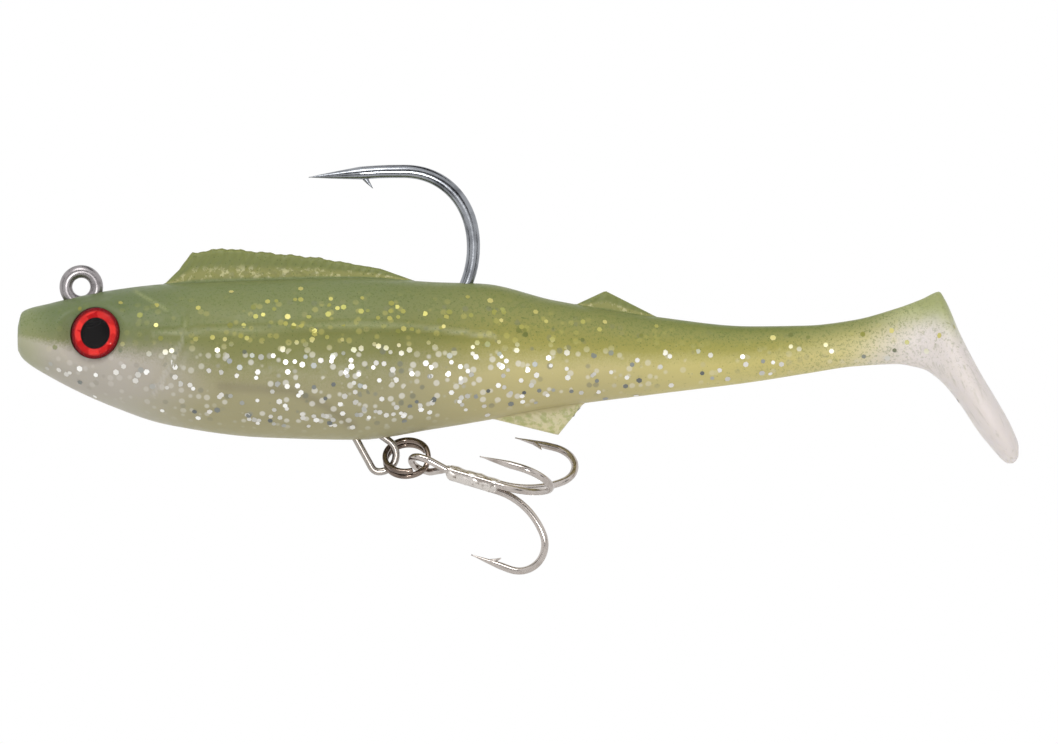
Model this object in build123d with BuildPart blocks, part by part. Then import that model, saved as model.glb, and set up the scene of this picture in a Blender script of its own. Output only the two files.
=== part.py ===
from build123d import *
from math import cos, radians, sin
import os

# Rigged soft-plastic swimbait, 127 mm long: moulded body, lead head, jig hook, belly hanger and treble.
# Millimetres. +X runs from the nose to the tail, +Z is up, and the fish's left flank faces -Y.
# The origin is the centre of the line-tie eye.

# ---- driving dimensions ----------------------------------------------------------------------
GAP = 0.25  # running gap between the faces of two body segments at a flex line
FIN_THICKNESS = 1.2
NOSE_ROUND = 0.8

# body outline: station x, back z, belly z, half width
BODY_STATIONS = [
    (-8.0, -4.7, -8.1, 1.6),
    (-6.6, -2.9, -9.8, 2.8),
    (-4.0, -2.2, -11.4, 4.0),
    (0.0, -1.3, -13.4, 5.2),
    (5.0, -0.3, -15.6, 6.2),
    (11.0, 0.35, -17.5, 6.9),
    (18.0, 0.75, -18.8, 7.3),
    (26.0, 1.2, -19.2, 7.4),
    (34.0, 1.2, -19.35, 7.0),
    (42.0, 0.65, -18.6, 6.3),
    (50.0, 0.4, -17.1, 5.5),
    (58.0, -1.3, -15.65, 4.7),
    (66.0, -2.75, -14.6, 4.0),
    (76.0, -4.15, -13.25, 3.2),
    (86.0, -5.05, -11.85, 2.6),
    (95.0, -4.75, -10.5, 2.05),
    (104.0, -2.55, -9.8, 1.7),
    (109.0, -1.0, -11.6, 1.6),
]

# flex lines of the tail: hinge x, and the radius of the rear segment's round end
FORE_HINGE, FORE_RADIUS = 76.0, 3.5
AFT_HINGE, AFT_RADIUS = 91.0, 2.6
PADDLE_HINGE, PADDLE_RADIUS = 103.0, 2.1
TALL = 60.0  # a length that always passes through the whole body

# paddle: an oval plate seen from behind, leaning back
PADDLE_TOP = (108.9, -0.7)
PADDLE_TIP = (118.4, -22.4)
PADDLE_HALF_WIDTH = 6.4

# jig hook
HOOK_WIRE = 0.82  # wire radius
EYE_MEAN = 1.905  # from the eye's centre to the middle of its section
EYE_SECTION = 0.86
EYE_HOLE = 1.15  # radius of the cylindrical land inside the eye
SHANK_Z = -7.35
STEM_BEND = 2.4
REAR_BEND = 12.4  # from the shank up and out of the back
BEND_WIDTH, BEND_HEIGHT = 8.85, 9.6  # the round of the hook above the back
BEND_CENTRE = (40.9, 5.05)
POINT_ROOT = (35.2, 14.45)
POINT_TIP = (28.85, 13.9)
BARB_ROOT = (35.6, 13.7)
BARB_TIP = (37.0, 12.5)

# belly hanger
HANGER_WIRE = 0.465
LOOP_CENTRE = (37.69, -21.3)
LOOP_RADIUS = 2.15
CORNER_RADIUS = 1.1
LEG_HEADING = -61.2  # direction of the hanger's front leg below the belly
LOOP_EXIT_HEADING = 145.0  # direction in which the rear leg goes back into the belly
LEG_RUN = 4.36
REAR_LEG_RUN = 17.5
HANGER_FRONT_END = (19.0, -11.6)
HANGER_KNEE = (26.3, -13.35)

# split ring
RING_CENTRE = (41.05, -0.25, -21.45)
RING_TILT = 46.0  # its near side is lifted by this angle
RING_YAW = -6.0
RING_INNER, RING_OUTER = 2.46, 3.06
RING_STRIP = 0.5  # axial thickness of one turn
RING_PITCH = 0.55
RING_CROSS = 60  # degrees of the crossover between the two flat turns
RING_END_GAP = 6  # degrees between each end of the strip and the crossover

# treble hook
TREBLE_EYE = (43.29, -1.24, -22.45)  # centre of the front round of its eye
SHANK_DROP, SHANK_YAW = 16.5, 13.0  # degrees below +X, and towards -Y
TREBLE_WIRE = 0.47
BUNDLE = 0.55  # from the treble's axis to the middle of each shank
EYE_HALF = 1.42
EYE_ROLL = 30.0
EYE_STRAIGHT = 0.9  # how far the sides of the eye run on before they close in
PRONG_ANGLES = {"near": 71.0, "far": -47.0, "low": 192.0}
PRONG_START, PRONG_LINE = 3.8, 10.2
PRONG_OPEN, PRONG_OPEN_TURN = 8.9, 54.0
PRONG_CLOSE, PRONG_CLOSE_TURN = 3.55, 129.8
PRONG_POINT, PRONG_TAPER = 5.3, 3.6
BRAZE_FROM, BRAZE_TO, BRAZE_RADIUS = 3.4, 10.6, 1.12

# eyes
EYE_AT = (1.93, 5.35, -5.86)
EYE_TURN, EYE_LIFT = 20.0, 8.0  # degrees that an eye looks forward and up
EYE_RADIUS = 3.3
SOCKET_DEPTH = 1.3
ADHESIVE, FOIL, DOME_RIM, DOME_RISE = 0.15, 0.25, 0.5, 1.15

# lead head: station x, middle z, half height, half width
LEAD_STATIONS = [
    (-4.6, -7.4, 0.9, 0.9),
    (-2.5, -7.5, 2.7, 2.1),
    (1.5, -8.1, 3.9, 2.9),
    (6.0, -8.6, 5.0, 3.8),
    (12.0, -8.9, 5.5, 4.4),
    (18.0, -9.6, 5.0, 4.2),
    (23.0, -9.7, 3.6, 2.9),
    (27.0, -8.4, 1.9, 1.5),
]

# fins: side outlines, each closed inside the body
DORSAL_FIN = [
    (10.5, -0.6), (14.0, 4.2), (18.0, 4.9), (30.0, 3.7), (38.0, 2.3), (42.8, 0.6), (42.8, -0.6),
]
SECOND_DORSAL = [(62.4, -3.4), (66.5, -0.6), (73.0, -3.8), (73.0, -5.0)]
ANAL_FIN = [(52.0, -15.8), (52.0, -16.9), (60.5, -18.8), (63.7, -14.9), (63.7, -14.0)]

# paddle: side outline, from the upper rear corner down to the tip and up the front
PADDLE_REAR = [(109.0, -0.8), (114.5, -11.6), (118.8, -20.4)]
PADDLE_FRONT = [(117.0, -22.0), (111.5, -14.9), (108.5, -8.0), (108.2, -1.2)]

os.makedirs("parts", exist_ok=True)


def write(name, shape):
    """Label a finished piece and write its STEP file."""
    shape.label = name
    export_step(shape, f"parts/{name}.step")


def cross_section(x, z):
    """The plane across the fish at x, with its own x along +Y and its own y along +Z."""
    return Plane(origin=(x, 0, z), x_dir=(0, 1, 0), z_dir=(1, 0, 0))


# ---- jig hook --------------------------------------------------------------------------------
side = Plane(origin=(0, 0, 0), x_dir=(1, 0, 0), z_dir=(0, -1, 0))  # the plane of both bent wires

with BuildPart() as jig_hook:
    with BuildLine(side) as hook_path:
        stem = Line((0, -EYE_MEAN), (0, SHANK_Z + STEM_BEND))
        heel = JernArc(stem @ 1, (0, -1), STEM_BEND, 90)
        shank = Line(heel @ 1, (BEND_CENTRE[0] + BEND_WIDTH - REAR_BEND, SHANK_Z))
        rise = JernArc(shank @ 1, (1, 0), REAR_BEND, 90)
        crown = (BEND_CENTRE[0], BEND_CENTRE[1] + BEND_HEIGHT)
        shoulder = (BEND_CENTRE[0] + 0.725 * BEND_WIDTH, BEND_CENTRE[1] + 0.725 * BEND_HEIGHT)
        Spline(rise @ 1, shoulder, crown, POINT_ROOT, tangents=[(0, 1), (-1, -0.09)])
    with BuildSketch(Plane(origin=(0, 0, -EYE_MEAN), z_dir=(0, 0, -1))):
        Circle(HOOK_WIRE)
    sweep(path=hook_path.wires()[0])
    needle = Vector(POINT_TIP[0] - POINT_ROOT[0], 0, POINT_TIP[1] - POINT_ROOT[1])
    needle_plane = Plane(origin=(POINT_ROOT[0], 0, POINT_ROOT[1]), z_dir=needle)
    with BuildSketch(needle_plane.offset(-0.05)):
        Circle(HOOK_WIRE * 0.99)
    with BuildSketch(needle_plane.offset(needle.length)):
        Circle(0.06)
    loft()
    barb = Vector(BARB_TIP[0] - BARB_ROOT[0], 0, BARB_TIP[1] - BARB_ROOT[1])
    barb_plane = Plane(origin=(BARB_ROOT[0], 0, BARB_ROOT[1]), z_dir=barb)
    with BuildSketch(barb_plane.offset(-0.4)):
        Circle(0.34)
    with BuildSketch(barb_plane.offset(barb.length)):
        Circle(0.04)
    loft()
    with Locations(Plane.XZ.location):
        Torus(EYE_MEAN, EYE_SECTION)
        Cylinder(EYE_HOLE, 4, mode=Mode.SUBTRACT)
write("jig_hook", jig_hook.part)

# ---- belly hanger ----------------------------------------------------------------------------
corner_centre = (LOOP_CENTRE[0], LOOP_CENTRE[1] - LOOP_RADIUS + CORNER_RADIUS)
leg_end = (
    corner_centre[0] + CORNER_RADIUS * cos(radians(LEG_HEADING - 90)),
    corner_centre[1] + CORNER_RADIUS * sin(radians(LEG_HEADING - 90)),
)
leg_start = (
    leg_end[0] - LEG_RUN * cos(radians(LEG_HEADING)),
    leg_end[1] - LEG_RUN * sin(radians(LEG_HEADING)),
)

with BuildPart() as belly_hanger:
    with BuildLine(side) as hanger_path:
        front = FilletPolyline(HANGER_FRONT_END, HANGER_KNEE, leg_start, leg_end, radius=3)
        leg_way = (cos(radians(LEG_HEADING)), sin(radians(LEG_HEADING)))
        corner = JernArc(front @ 1, leg_way, CORNER_RADIUS, -LEG_HEADING)
        loop = JernArc(corner @ 1, (1, 0), LOOP_RADIUS, LOOP_EXIT_HEADING)
        PolarLine(loop @ 1, REAR_LEG_RUN, LOOP_EXIT_HEADING)
    with BuildSketch(Plane(origin=hanger_path.wires()[0] @ 0, z_dir=hanger_path.wires()[0] % 0)):
        Circle(HANGER_WIRE)
    sweep(path=hanger_path.wires()[0])
write("belly_hanger", belly_hanger.part)

# ---- split ring: two flat turns of strip joined by one crossover ------------------------------
ring_axis = Vector(
    sin(radians(RING_YAW)) * cos(radians(RING_TILT)),
    -cos(radians(RING_YAW)) * cos(radians(RING_TILT)),
    sin(radians(RING_TILT)),
)
ring_side = Vector(cos(radians(RING_YAW)), sin(radians(RING_YAW)), 0)
ring_up = ring_axis.cross(ring_side)


def strip_plane(angle, along):
    """The radial plane of the ring at an angle in degrees, shifted along the ring's axis."""
    outwards = ring_side * cos(radians(angle)) + ring_up * sin(radians(angle))
    onwards = ring_up * cos(radians(angle)) - ring_side * sin(radians(angle))
    return Plane(origin=Vector(RING_CENTRE) + ring_axis * along, x_dir=outwards, z_dir=onwards)


def strip_section():
    """One section of the strip, at the ring's mean radius."""
    with Locations(((RING_INNER + RING_OUTER) / 2, 0)):
        Rectangle(RING_OUTER - RING_INNER, RING_STRIP)


with BuildPart() as split_ring:
    turn_starts = (
        (RING_CROSS / 2 + RING_END_GAP, -RING_PITCH / 2),
        (RING_CROSS / 2, RING_PITCH / 2),
    )
    for first_angle, along in turn_starts:
        with BuildSketch(strip_plane(first_angle, along)):
            strip_section()
        revolve(axis=Axis(RING_CENTRE, ring_axis), revolution_arc=360 - RING_CROSS - RING_END_GAP)
    for step in range(5):
        share = step / 4
        with BuildSketch(strip_plane(RING_CROSS * (share - 0.5), RING_PITCH * (share - 0.5))):
            strip_section()
    loft()
write("split_ring", split_ring.part)

# ---- treble hook: a double wire with the eye, a single prong and the braze that joins them ----
drop, yaw = radians(SHANK_DROP), radians(SHANK_YAW)
along = Vector(cos(drop) * cos(yaw), -sin(yaw), -sin(drop) * cos(yaw))
upward = Vector(sin(drop), 0, cos(drop))
nearward = along.cross(upward)
treble_eye = Vector(TREBLE_EYE)


def outward(angle):
    """Direction square to the treble's shank, measured from upwards towards the near side."""
    return upward * cos(radians(angle)) + nearward * sin(radians(angle))


def add_cone(base, way, length, wide, narrow):
    """A tapered round piece from a base point along a direction."""
    with BuildSketch(Plane(origin=base, z_dir=way)) as foot:
        Circle(wide)
    with BuildSketch(Plane(origin=base, z_dir=way).offset(length)) as head:
        Circle(narrow)
    loft([foot.sketch, head.sketch])


def prong_plane(angle):
    """The plane of one prong: its own x runs along the shank and its own y runs outwards."""
    return Plane(origin=treble_eye, x_dir=along, z_dir=along.cross(outward(angle)))


def add_prong(angle):
    """One prong: shank, round bend, point line, needle and barb, from the braze's front end."""
    plane = prong_plane(angle)
    with BuildLine(plane) as path:
        straight = Line((PRONG_START, BUNDLE), (PRONG_LINE, BUNDLE))
        opening = JernArc(straight @ 1, (1, 0), PRONG_OPEN, PRONG_OPEN_TURN)
        heading = (cos(radians(PRONG_OPEN_TURN)), sin(radians(PRONG_OPEN_TURN)))
        closing = JernArc(opening @ 1, heading, PRONG_CLOSE, PRONG_CLOSE_TURN)
        PolarLine(closing @ 1, PRONG_POINT - PRONG_TAPER, PRONG_OPEN_TURN + PRONG_CLOSE_TURN)
    wire = path.wires()[0]
    with BuildSketch(Plane(origin=wire @ 0, z_dir=wire % 0)) as round_wire:
        Circle(TREBLE_WIRE)
    sweep(round_wire.sketch, path=wire)
    point_end = wire @ 1
    point_way = wire % 1
    add_cone(point_end - point_way * 0.02, point_way, PRONG_TAPER, TREBLE_WIRE * 0.99, 0.05)
    barb_base = point_end + point_way * 0.25 - outward(angle) * 0.2
    add_cone(barb_base, point_way * -0.75 - outward(angle) * 0.45, 1.0, 0.22, 0.03)


eye_side = nearward * cos(radians(EYE_ROLL)) + upward * sin(radians(EYE_ROLL))
near_shank = outward(PRONG_ANGLES["near"]) * BUNDLE
far_shank = outward(PRONG_ANGLES["far"]) * BUNDLE
eye_corner = EYE_HALF + 0.05
eye_route = [
    treble_eye + along * (PRONG_START + 1) + near_shank,
    treble_eye + along * (PRONG_START - 0.4) + near_shank,
    treble_eye + along * EYE_STRAIGHT + eye_side * eye_corner,
    treble_eye - along * eye_corner + eye_side * eye_corner,
    treble_eye - along * eye_corner - eye_side * eye_corner,
    treble_eye + along * EYE_STRAIGHT - eye_side * eye_corner,
    treble_eye + along * (PRONG_START - 0.4) + far_shank,
    treble_eye + along * (PRONG_START + 1) + far_shank,
]

with BuildPart() as treble_double_wire:
    with BuildLine() as eye_path:
        FilletPolyline(*eye_route, radius=[1.5, 1.2, EYE_HALF, EYE_HALF, 1.2, 1.5])
    eye_wire = eye_path.wires()[0]
    with BuildSketch(Plane(origin=eye_wire @ 0, z_dir=eye_wire % 0)):
        Circle(TREBLE_WIRE)
    sweep(path=eye_wire)
    add_prong(PRONG_ANGLES["near"])
    add_prong(PRONG_ANGLES["far"])
write("treble_double_wire", treble_double_wire.part)

with BuildPart() as treble_single_prong:
    add_prong(PRONG_ANGLES["low"])
write("treble_single_prong", treble_single_prong.part)

with BuildPart() as treble_braze:
    with BuildSketch(Plane(origin=treble_eye + along * BRAZE_FROM, z_dir=along)):
        Circle(BRAZE_RADIUS)
    extrude(amount=BRAZE_TO - BRAZE_FROM)
    chamfer(treble_braze.edges().filter_by(GeomType.CIRCLE), 0.3)
    add(treble_double_wire.part, mode=Mode.SUBTRACT)
    add(treble_single_prong.part, mode=Mode.SUBTRACT)
write("treble_braze", treble_braze.part)

# ---- body moulding: one casting, cut at the flex lines into segments ---------------------------
with BuildPart() as trunk_blank:
    for x, top, bottom, half_width in BODY_STATIONS:
        with BuildSketch(cross_section(x, (top + bottom) / 2)):
            Ellipse(half_width, (top - bottom) / 2)
    loft()
    fillet(trunk_blank.edges().sort_by(Axis.X)[0], NOSE_ROUND)

with BuildPart() as fins:
    with BuildSketch(Plane.XZ.offset(-FIN_THICKNESS / 2)):
        with BuildLine():
            Polyline(DORSAL_FIN, close=True)
        make_face()
        with BuildLine():
            Polyline(SECOND_DORSAL, close=True)
        make_face()
        with BuildLine():
            Polyline(ANAL_FIN, close=True)
        make_face()
    extrude(amount=FIN_THICKNESS)

with BuildPart() as paddle_blank:
    with BuildSketch(Plane.XZ.offset(-TALL / 2)):
        with BuildLine():
            rear_edge = Spline(PADDLE_REAR)
            ThreePointArc(rear_edge @ 1, PADDLE_TIP, PADDLE_FRONT[0])
            front_edge = Spline(PADDLE_FRONT)
            Line(front_edge @ 1, rear_edge @ 0)
        make_face()
    extrude(amount=TALL)
    lean = Vector(PADDLE_TIP[0] - PADDLE_TOP[0], 0, PADDLE_TIP[1] - PADDLE_TOP[1])
    middle = Vector(PADDLE_TOP[0] + lean.X / 2, 0, PADDLE_TOP[1] + lean.Z / 2)
    behind = lean.cross(Vector(0, 1, 0))
    with BuildSketch(Plane(origin=middle, x_dir=(0, 1, 0), z_dir=behind)):
        Ellipse(PADDLE_HALF_WIDTH, lean.length / 2 + 0.35)
    extrude(amount=TALL, both=True, mode=Mode.INTERSECT)

with BuildPart() as casting:
    add(trunk_blank.part)
    add(fins.part)
    add(paddle_blank.part)

# ---- lead head, cast round the hook's shank and the hanger's two ends --------------------------
with BuildPart() as lead_head:
    for x, middle_z, half_height, half_width in LEAD_STATIONS:
        with BuildSketch(cross_section(x, middle_z)):
            Ellipse(half_width, half_height)
    loft()
    add(jig_hook.part, mode=Mode.SUBTRACT)
    add(belly_hanger.part, mode=Mode.SUBTRACT)
write("lead_head", lead_head.part)

# ---- eyes: adhesive pad, printed foil and clear dome on each side ------------------------------
socket_planes = {}
for name, flank in (("left", -1), ("right", 1)):
    look = Vector(-sin(radians(EYE_TURN)), flank * cos(radians(EYE_TURN)), sin(radians(EYE_LIFT)))
    centre = Vector(EYE_AT[0], flank * EYE_AT[1], EYE_AT[2])
    floor = Plane(origin=centre, z_dir=look).offset(-SOCKET_DEPTH)
    socket_planes[name] = floor
    with BuildPart() as eye_adhesive:
        with BuildSketch(floor):
            Circle(EYE_RADIUS - 0.1)
        extrude(amount=ADHESIVE)
    write(f"eye_{name}_adhesive", eye_adhesive.part)
    with BuildPart() as eye_foil:
        with BuildSketch(floor.offset(ADHESIVE)):
            Circle(EYE_RADIUS - 0.1)
        extrude(amount=FOIL)
    write(f"eye_{name}_foil", eye_foil.part)
    dome_base = floor.offset(ADHESIVE + FOIL)
    dome_section = Plane(origin=dome_base.origin, x_dir=dome_base.x_dir, z_dir=dome_base.y_dir * -1)
    with BuildPart() as eye_dome:
        with BuildSketch(dome_section):
            with BuildLine():
                Line((0, 0), (EYE_RADIUS, 0))
                Line((EYE_RADIUS, 0), (EYE_RADIUS, DOME_RIM))
                ThreePointArc(
                    (-EYE_RADIUS, DOME_RIM), (0, DOME_RIM + DOME_RISE), (EYE_RADIUS, DOME_RIM)
                )
                Line((-EYE_RADIUS, DOME_RIM), (-EYE_RADIUS, 0))
                Line((-EYE_RADIUS, 0), (0, 0))
            make_face()
            with Locations((-EYE_RADIUS, 0)):
                Rectangle(2 * EYE_RADIUS, 4 * EYE_RADIUS, mode=Mode.SUBTRACT)
        revolve(axis=Axis(dome_base.origin, dome_base.z_dir))
    write(f"eye_{name}_dome", eye_dome.part)


# ---- body segments -----------------------------------------------------------------------------
def keep_ahead_of(hinge, radius):
    """Cut away what lies behind a flex line, with a hollow for the next segment's round end."""
    with Locations((hinge + TALL, 0, 0)):
        Box(2 * TALL, TALL, 2 * TALL, mode=Mode.SUBTRACT)
    with Locations((hinge, 0, 0)):
        Cylinder(radius + GAP, 2 * TALL, mode=Mode.SUBTRACT)


# what lies ahead of each flex line, less the round end that the segment behind it keeps
ahead_of = {}
for hinge, radius in (
    (FORE_HINGE, FORE_RADIUS), (AFT_HINGE, AFT_RADIUS), (PADDLE_HINGE, PADDLE_RADIUS)
):
    with BuildPart() as cutter:
        with Locations((hinge - 2 * TALL, 0, 0)):
            Box(4 * TALL, TALL, 2 * TALL)
        with Locations((hinge, 0, 0)):
            Cylinder(radius, 2 * TALL, mode=Mode.SUBTRACT)
    ahead_of[hinge] = cutter.part

with BuildPart() as body_front:
    add(casting.part)
    keep_ahead_of(FORE_HINGE, FORE_RADIUS)
    for plane in socket_planes.values():
        with BuildSketch(plane) as socket:
            Circle(EYE_RADIUS)
        extrude(socket.sketch, amount=2 * EYE_RADIUS, mode=Mode.SUBTRACT)
    add(lead_head.part, mode=Mode.SUBTRACT)
    add(jig_hook.part, mode=Mode.SUBTRACT)
    add(belly_hanger.part, mode=Mode.SUBTRACT)
write("body_front", body_front.part)

with BuildPart() as tail_fore:
    add(casting.part)
    add(ahead_of[FORE_HINGE], mode=Mode.SUBTRACT)
    keep_ahead_of(AFT_HINGE, AFT_RADIUS)
write("tail_fore", tail_fore.part)

with BuildPart() as tail_aft:
    add(casting.part)
    add(ahead_of[AFT_HINGE], mode=Mode.SUBTRACT)
    keep_ahead_of(PADDLE_HINGE, PADDLE_RADIUS)
write("tail_aft", tail_aft.part)

with BuildPart() as paddle_tail:
    add(casting.part)
    add(ahead_of[PADDLE_HINGE], mode=Mode.SUBTRACT)
write("paddle_tail", paddle_tail.part)
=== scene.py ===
from math import acos, cos, pi, radians, sin, sqrt, tan

import bpy
import numpy as np
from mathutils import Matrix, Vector


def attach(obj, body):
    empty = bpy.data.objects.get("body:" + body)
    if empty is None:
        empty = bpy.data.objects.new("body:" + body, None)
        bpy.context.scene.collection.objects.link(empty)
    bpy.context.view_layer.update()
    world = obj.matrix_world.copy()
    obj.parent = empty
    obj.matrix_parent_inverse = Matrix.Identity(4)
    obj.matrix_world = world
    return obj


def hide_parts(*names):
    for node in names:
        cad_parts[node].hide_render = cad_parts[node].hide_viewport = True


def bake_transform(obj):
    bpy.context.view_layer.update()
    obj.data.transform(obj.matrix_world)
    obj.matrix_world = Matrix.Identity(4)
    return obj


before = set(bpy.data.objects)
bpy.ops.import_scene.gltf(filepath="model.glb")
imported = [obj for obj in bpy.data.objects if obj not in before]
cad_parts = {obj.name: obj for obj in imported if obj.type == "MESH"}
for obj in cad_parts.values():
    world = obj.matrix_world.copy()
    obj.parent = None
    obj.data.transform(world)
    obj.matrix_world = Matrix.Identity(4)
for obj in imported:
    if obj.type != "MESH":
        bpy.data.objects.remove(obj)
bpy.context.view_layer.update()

MM = 0.001


# ---- jig hook ----------------------------------------------------------------------------------
# One bent wire of smoked black-nickel steel, forged flatter round the bend, ground to a needle point
# with a barb cut from its inner side. Its eye stands out of the head and its shank is cast in lead.
def rgb(red, green, blue):
    """Linear colour, with alpha, of an sRGB colour of 0 to 255."""
    share = np.array([red, green, blue]) / 255
    linear = np.where(share <= 0.04045, share / 12.92, ((share + 0.055) / 1.055) ** 2.4)
    return (*[float(c) for c in linear], 1.0)


def put(tree, socket, value):
    """Sets a socket to a value, or links another node's output to it."""
    if isinstance(value, bpy.types.NodeSocket):
        tree.links.new(value, socket)
    else:
        socket.default_value = value


def add_node(tree, kind, inputs=None, **settings):
    """A new node of a tree, with its settings and its inputs."""
    made = tree.nodes.new(kind)
    for key, value in settings.items():
        setattr(made, key, value)
    for key, value in (inputs or {}).items():
        put(tree, made.inputs[key], value)
    return made


class Paint:
    """A material made of nodes, with short ways to add the nodes it is made of."""

    def __init__(self, name):
        self.material = bpy.data.materials.new(name)
        self.material.use_nodes = True
        self.tree = self.material.node_tree
        self.surface = self.tree.nodes["Principled BSDF"]
        self.place = self.node("ShaderNodeTexCoord").outputs["Object"]

    def node(self, kind, inputs=None, **settings):
        return add_node(self.tree, kind, inputs, **settings)

    def set(self, **inputs):
        for key, value in inputs.items():
            put(self.tree, self.surface.inputs[key.replace("_", " ")], value)

    def math(self, operation, first, second):
        return self.node("ShaderNodeMath", {0: first, 1: second}, operation=operation).outputs[0]

    def times(self, first, *others):
        """The product of values."""
        for other in others:
            first = self.math("MULTIPLY", first, other)
        return first

    def plus(self, first, *others):
        """The sum of values."""
        for other in others:
            first = self.math("ADD", first, other)
        return first

    def mix(self, share, first, second):
        """The first colour, with a share of the second one."""
        return self.node("ShaderNodeMix", {0: share, 6: first, 7: second}, data_type="RGBA").outputs[2]

    def step(self, value, low, high, to_low=0.0, to_high=1.0):
        """A smooth step of value from low to high."""
        made = self.node(
            "ShaderNodeMapRange",
            {"Value": value, "From Min": low, "From Max": high, "To Min": to_low, "To Max": to_high},
            interpolation_type="SMOOTHSTEP",
        )
        return made.outputs["Result"]

    def ramp(self, value, stops):
        """A colour ramp over stops of a position and an sRGB colour."""
        made = self.node("ShaderNodeValToRGB", {"Fac": value})
        elements, stops = made.color_ramp.elements, list(stops)
        while len(elements) < len(stops):
            elements.new(0.5)
        for element, (position, colour) in zip(elements, stops):
            element.position = position
            element.color = rgb(*colour)
        return made.outputs["Color"]

    def noise(self, per_metre, detail=2.0, roughness=0.5, place=None):
        made = self.node(
            "ShaderNodeTexNoise",
            {"Vector": place or self.place, "Scale": per_metre, "Detail": detail, "Roughness": roughness},
        )
        return made.outputs["Fac"]

    def cells(self, per_metre):
        """Distance to the middle of each of many small cells, and three random tones of the cell."""
        made = self.node("ShaderNodeTexVoronoi", {"Vector": self.place, "Scale": per_metre})
        tones = self.node("ShaderNodeSeparateColor", {0: made.outputs["Color"]}).outputs
        return made.outputs["Distance"], tones

    def attribute(self, name):
        return self.node("ShaderNodeAttribute", attribute_name=name).outputs["Fac"]

    def axis(self, letter):
        """How far along an axis a place lies, in millimetres."""
        return self.times(self.node("ShaderNodeSeparateXYZ", {0: self.place}).outputs[letter], 1 / MM)

    def bump(self, height, strength, distance):
        made = self.node("ShaderNodeBump", {"Height": height, "Strength": strength, "Distance": distance})
        self.set(Normal=made.outputs["Normal"])


def metal(name, colour, roughness, stain, grain=900.0, stain_share=0.5):
    """Plated metal: a base colour, darker stains, fine scratches and uneven gloss."""
    paint = Paint(name)
    cloud = paint.noise(grain, 4.0, 0.6)
    scratch = paint.noise(grain * 9, 2.0, 0.7)
    worn = paint.times(paint.step(cloud, 0.45, 0.72), stain_share)
    paint.set(
        Base_Color=paint.mix(worn, colour, stain),
        Metallic=1.0,
        Roughness=paint.step(scratch, 0.2, 0.8, roughness * 0.75, roughness * 1.45),
    )
    paint.bump(scratch, 0.12, 0.00003)
    return paint.material


def make_piece(name, points, faces, material):
    """A smooth mesh piece from points in millimetres, with its faces turned outwards."""
    points = np.asarray(points, float)
    volume = 0.0
    for face in faces:
        for second, third in zip(face[1:-1], face[2:]):
            volume += points[face[0]] @ np.cross(points[second], points[third])
    if volume < 0:
        faces = [face[::-1] for face in faces]
    mesh = bpy.data.meshes.new(name)
    mesh.from_pydata((points * MM).tolist(), [], [list(face) for face in faces])
    mesh.shade_smooth()
    mesh.materials.append(material)
    made = bpy.data.objects.new(name, mesh)
    bpy.context.scene.collection.objects.link(made)
    return made


def unit(vector):
    vector = np.asarray(vector, float)
    return vector / np.linalg.norm(vector)


def tube_faces(count, size, closed=False):
    """Faces of a tube of rings. Unless it is closed, two points after the rings end it."""
    faces = []
    for i in range(count if closed else count - 1):
        here, after = i * size, (i + 1) % count * size
        for j in range(size):
            k = (j + 1) % size
            faces.append((here + j, here + k, after + k, after + j))
    if not closed:
        last = (count - 1) * size
        for j in range(size):
            k = (j + 1) % size
            faces.append((count * size, k, j))
            faces.append((count * size + 1, last + j, last + k))
    return faces


def sweep(points, first_axes, second_axes, section, closed=False):
    """Sections swept along points: section holds pairs for one ring, or for every ring."""
    section = np.broadcast_to(section, (len(points), *np.shape(section)[-2:]))
    rings = (
        np.asarray(points)[:, None]
        + section[..., :1] * first_axes[:, None]
        + section[..., 1:] * second_axes[:, None]
    )
    vertices = rings.reshape(-1, 3)
    if not closed:
        vertices = np.vstack([vertices, points[0], points[-1]])
    return vertices, tube_faces(*rings.shape[:2], closed)


def wire(points, radius, across=(0, 1, 0), flatness=1.0, size=20, closed=False):
    """A round wire along points; flatness scales it along the across axis."""
    points = np.asarray(points, float)
    if closed:
        tangents = np.roll(points, -1, 0) - np.roll(points, 1, 0)
    else:
        tangents = np.gradient(points, axis=0)
    tangents /= np.linalg.norm(tangents, axis=1)[:, None]
    first, axes = np.asarray(across, float), []
    for tangent in tangents:
        first = unit(first - tangent * (first @ tangent))
        axes.append(first)
    axes = np.array(axes)
    angles = np.arange(size) * 2 * pi / size
    radius = np.broadcast_to(radius, len(points))[:, None]
    flatness = np.broadcast_to(flatness, len(points))[:, None]
    section = np.stack([radius * flatness * np.cos(angles), radius * np.sin(angles)], -1)
    return sweep(points, axes, np.cross(tangents, axes), section, closed)


def together(*parts):
    """Several meshes as one list of points and one of faces."""
    points, faces = [], []
    for part_points, part_faces in parts:
        shift = sum(len(p) for p in points)
        points.append(np.asarray(part_points))
        faces += [tuple(i + shift for i in face) for face in part_faces]
    return np.vstack(points), faces


def run_along(points):
    """Distance of each point along its path from the first one."""
    return np.r_[0, np.cumsum(np.linalg.norm(np.diff(points, axis=0), axis=1))]


def spaced(points, step):
    """The same path with evenly spaced points."""
    points = np.asarray(points, float)
    run = run_along(points)
    at = np.linspace(0, run[-1], max(2, int(run[-1] / step) + 1))
    return np.stack([np.interp(at, run, points[:, k]) for k in range(points.shape[1])], -1)


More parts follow.
